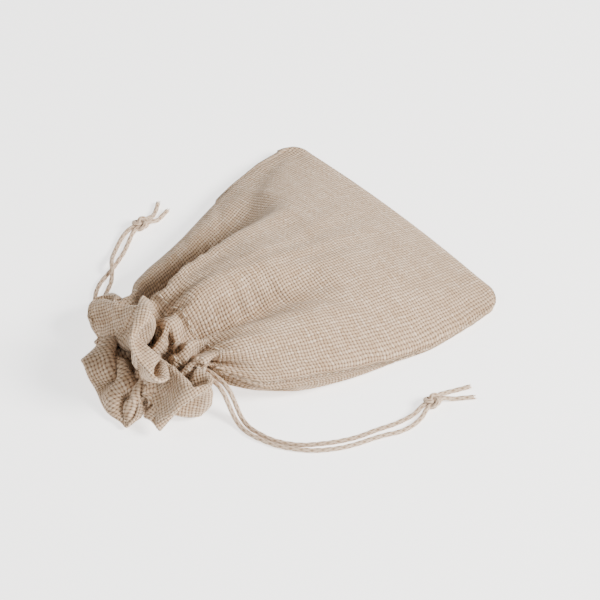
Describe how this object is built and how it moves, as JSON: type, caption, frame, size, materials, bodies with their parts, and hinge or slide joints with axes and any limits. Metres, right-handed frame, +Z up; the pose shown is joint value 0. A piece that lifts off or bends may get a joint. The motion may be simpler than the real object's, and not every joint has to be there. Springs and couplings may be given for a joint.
{
  "type": "drawstring gift pouch",
  "caption": "Small woven cloth gift pouch lying on its back, mouth gathered by two looped drawcords that leave opposite side slits and end in knots.",
  "frame": {"origin": "bottom centre of the cloth's bounding box, on the surface that the pouch lies on, cords left out", "axes": "+X from the gathered mouth to the sewn end, +Y to the pouch's left side, +Z up from the surface"},
  "size_m": [0.1269, 0.1322, 0.0285],
  "materials": {
    "linen": "plain-woven linen-look cloth, coarse yarns with slubs, matt with a slight sheen",
    "cord": "fine braided cord, slightly shiny",
    "thread": "sewing thread, matt"
  },
  "bodies": {
    "back": {"back_panel": "linen", "back_upper_stitches": "thread", "back_lower_stitches": "thread", "right_cord_back_run": "cord", "left_cord_back_run": "cord", "right_side_seam": "thread", "left_side_seam": "thread", "bottom_seam": "thread"},
    "front": {"front_panel": "linen", "front_upper_stitches": "thread", "front_lower_stitches": "thread", "right_cord_front_run": "cord", "left_cord_front_run": "cord"},
    "right_throat": {"right_throat_front_strand": "cord", "right_throat_back_strand": "cord"},
    "right_cord": {"right_cord_front_strand": "cord", "right_cord_back_strand": "cord", "right_knot": "cord", "right_front_tail": "cord", "right_back_tail": "cord"},
    "left_throat": {"left_throat_front_strand": "cord", "left_throat_back_strand": "cord"},
    "left_cord": {"left_cord_front_strand": "cord", "left_cord_back_strand": "cord", "left_knot": "cord", "left_front_tail": "cord", "left_back_tail": "cord"}
  },
  "joints": [
    {"name": "front_panel_lift", "type": "hinge", "parent": "back", "child": "front", "pos_m": [0.0635, 0, 0.0046], "axis": [0, 1, 0], "range_deg": [0, 3.6]},
    {"name": "right_cord_pull", "type": "slide", "parent": "back", "child": "right_throat", "axis": [0, -1, 0], "range_m": [-0.0039, 0]},
    {"name": "left_cord_pull", "type": "slide", "parent": "back", "child": "left_throat", "axis": [0, 1, 0], "range_m": [-0.0039, 0]},
    {"name": "right_cord_swing", "type": "hinge", "parent": "right_throat", "child": "right_cord", "pos_m": [-0.0315, -0.0203, 0.00975], "axis": [0, 0, 1], "range_deg": [-24, 3]},
    {"name": "left_cord_swing", "type": "hinge", "parent": "left_throat", "child": "left_cord", "pos_m": [-0.0315, 0.0261, 0.00975], "axis": [0, 0, 1], "range_deg": [-3, 24]}
  ],
  "couplings": [
    {"joint": "right_cord_pull", "follows": "front_panel_lift", "m_per_rad": -0.062},
    {"joint": "left_cord_pull", "follows": "front_panel_lift", "m_per_rad": -0.062}
  ]
}
